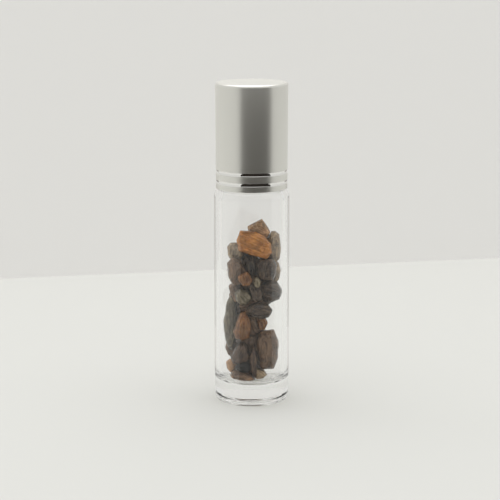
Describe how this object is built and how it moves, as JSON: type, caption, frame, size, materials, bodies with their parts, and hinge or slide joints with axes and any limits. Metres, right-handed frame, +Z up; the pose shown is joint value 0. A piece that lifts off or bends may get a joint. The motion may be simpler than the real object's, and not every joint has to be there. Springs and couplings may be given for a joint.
{
  "type": "roll on bottle",
  "caption": "Clear thick-based glass roll-on bottle with a steel roller ball in a pressed-in housing, tumbled stone chips inside and a lined satin aluminium screw cap.",
  "frame": {"origin": "centre of the base, on the surface that the bottle stands on", "axes": "+Z up along the bottle's axis towards the cap, front of the bottle towards -Y"},
  "size_m": [0.02, 0.02, 0.086],
  "materials": {
    "clear_glass": "gloss",
    "housing_plastic": "satin",
    "ball_steel": "polished",
    "pad_foam": "matte",
    "liner_plastic": "satin",
    "cap_aluminium": "satin",
    "amber_stone": "polished",
    "brown_stone": "polished",
    "dark_stone": "polished",
    "olive_stone": "polished",
    "black_stone": "polished"
  },
  "bodies": {
    "bottle": {"glass_bottle": "clear_glass", "roller_housing": "housing_plastic", "stone_amber": "amber_stone", "stone_back_1": "brown_stone", "stone_back_10": "brown_stone", "stone_back_11": "brown_stone", "stone_back_12": "brown_stone", "stone_back_2": "brown_stone", "stone_back_3": "brown_stone", "stone_back_4": "brown_stone", "stone_back_5": "brown_stone", "stone_back_6": "brown_stone", "stone_back_7": "brown_stone", "stone_back_8": "brown_stone", "stone_back_9": "brown_stone", "stone_black": "black_stone", "stone_blade": "brown_stone", "stone_brown_low": "brown_stone", "stone_core_1": "brown_stone", "stone_core_2": "brown_stone", "stone_core_3": "brown_stone", "stone_core_4": "brown_stone", "stone_core_5": "brown_stone", "stone_core_6": "brown_stone", "stone_dark_lens": "dark_stone", "stone_dark_middle": "dark_stone", "stone_deep_dark": "dark_stone", "stone_flask": "amber_stone", "stone_floor_left": "brown_stone", "stone_floor_right": "brown_stone", "stone_left_foot": "brown_stone", "stone_left_low": "brown_stone", "stone_left_small": "olive_stone", "stone_left_tall": "brown_stone", "stone_long_bean": "olive_stone", "stone_orange_small": "amber_stone", "stone_peak": "brown_stone", "stone_right_block": "brown_stone", "stone_right_edge": "brown_stone", "stone_right_lens": "dark_stone", "stone_right_middle": "dark_stone", "stone_right_tall": "brown_stone", "stone_sliver": "olive_stone", "stone_tooth": "olive_stone", "stone_wedge": "amber_stone"},
    "ball": {"roller_ball": "ball_steel"},
    "seal": {"sealing_pad": "pad_foam"},
    "cap": {"cap_liner": "liner_plastic", "cap_shell": "cap_aluminium"}
  },
  "joints": [
    {"name": "ball_roll", "type": "hinge", "parent": "bottle", "child": "ball", "pos_m": [0, 0, 0.072], "axis": [1, 0, 0], "continuous": true},
    {"name": "cap_rise", "type": "slide", "parent": "bottle", "child": "seal", "axis": [0, 0, 1], "range_m": [0, 0.024]},
    {"name": "cap_turn", "type": "hinge", "parent": "seal", "child": "cap", "pos_m": [0, 0, 0.0579], "axis": [0, 0, 1], "range_deg": [0, 2880]}
  ],
  "couplings": [
    {"joint": "cap_rise", "follows": "cap_turn", "m_per_rad": 0.00047746}
  ]
}
